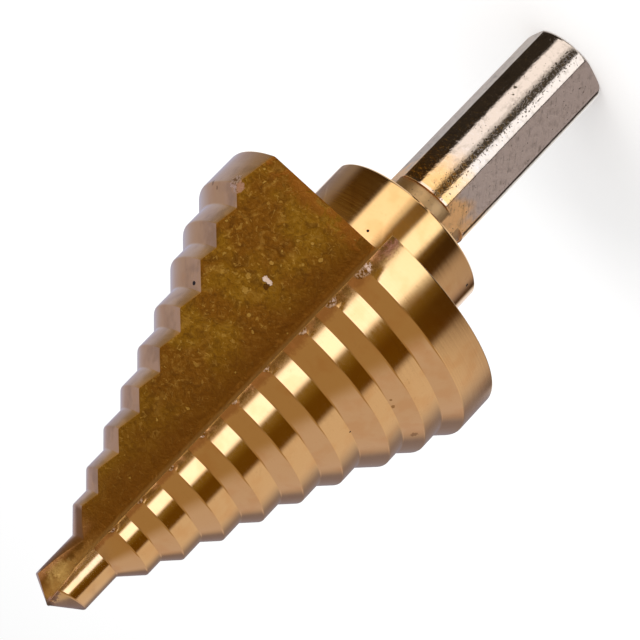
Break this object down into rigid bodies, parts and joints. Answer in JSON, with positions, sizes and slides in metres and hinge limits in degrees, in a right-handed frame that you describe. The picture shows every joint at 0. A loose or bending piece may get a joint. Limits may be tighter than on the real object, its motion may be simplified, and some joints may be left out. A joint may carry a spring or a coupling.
{
  "type": "step drill",
  "caption": "Two-flute step drill: stepped conical cutting body with a pilot point, a collar and a straight shank with chuck flats, gold coated with a bare steel shank.",
  "frame": {"origin": "centre of the shank's end face", "axes": "+Z along the drill's axis, from the shank's end to the tip; the two cutting faces look along +X and -X"},
  "size_m": [0.0348, 0.035, 0.0767],
  "materials": {
    "coated_steel": "satin gold titanium nitride over ground high-speed steel, bare polished steel on most of the shank"
  },
  "bodies": {
    "root": {"step_drill": "coated_steel"}
  },
  "joints": []
}
